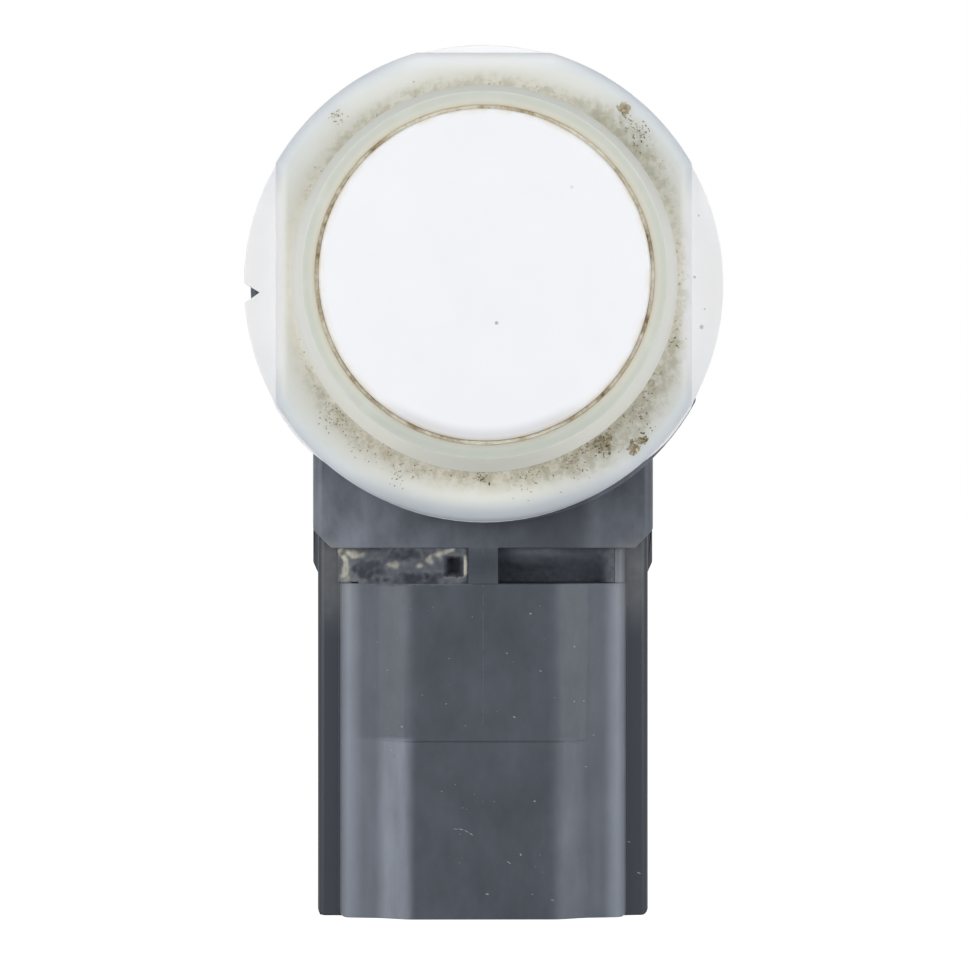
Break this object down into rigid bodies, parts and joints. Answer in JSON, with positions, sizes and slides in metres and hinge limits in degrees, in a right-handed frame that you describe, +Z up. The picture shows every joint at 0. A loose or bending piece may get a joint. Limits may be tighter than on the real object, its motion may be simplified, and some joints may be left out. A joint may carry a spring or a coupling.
{
  "type": "parking sensor",
  "caption": "Right-angle ultrasonic parking sensor: white membrane in a silicone ring, on a black moulded housing with a connector socket facing down.",
  "frame": {"origin": "on the head's axis, in the front face of the silicone flange, where the snout leaves it", "axes": "+Z up, -Y the way the membrane faces, +X to the right seen from the front; the connector's mouth faces -Z"},
  "size_m": [0.0236, 0.0244, 0.0437],
  "materials": {
    "black_moulding": "satin, dusty",
    "white_moulding": "matt",
    "milky_silicone": "milky, stained with dirt",
    "white_paint": "satin white paint",
    "piezo_ceramic": "matt",
    "felt": "felt",
    "sealing_fill": "matt",
    "copper": "bright",
    "board_laminate": "satin",
    "black_package": "matt",
    "capacitor_ceramic": "satin",
    "can_aluminium": "bright",
    "ferrite": "matt",
    "tinned_terminal": "tinned, bright",
    "potting_resin": "satin"
  },
  "bodies": {
    "root": {"housing": "black_moulding", "retaining_ring": "white_moulding", "decoupling_ring": "milky_silicone", "membrane_cup": "white_paint", "piezo_disc": "piezo_ceramic", "damping_pad": "felt", "cup_fill": "sealing_fill", "signal_lead": "copper", "ground_lead": "copper", "circuit_board": "board_laminate", "sensor_chip": "black_package", "chip_resistors": "black_package", "chip_capacitors": "capacitor_ceramic", "supply_capacitor": "can_aluminium", "protection_diode": "black_package", "transformer_base": "black_package", "transformer_core": "ferrite", "transformer_coil": "copper", "terminal_supply": "tinned_terminal", "terminal_signal": "tinned_terminal", "terminal_ground": "tinned_terminal", "potting": "potting_resin"}
  },
  "joints": []
}
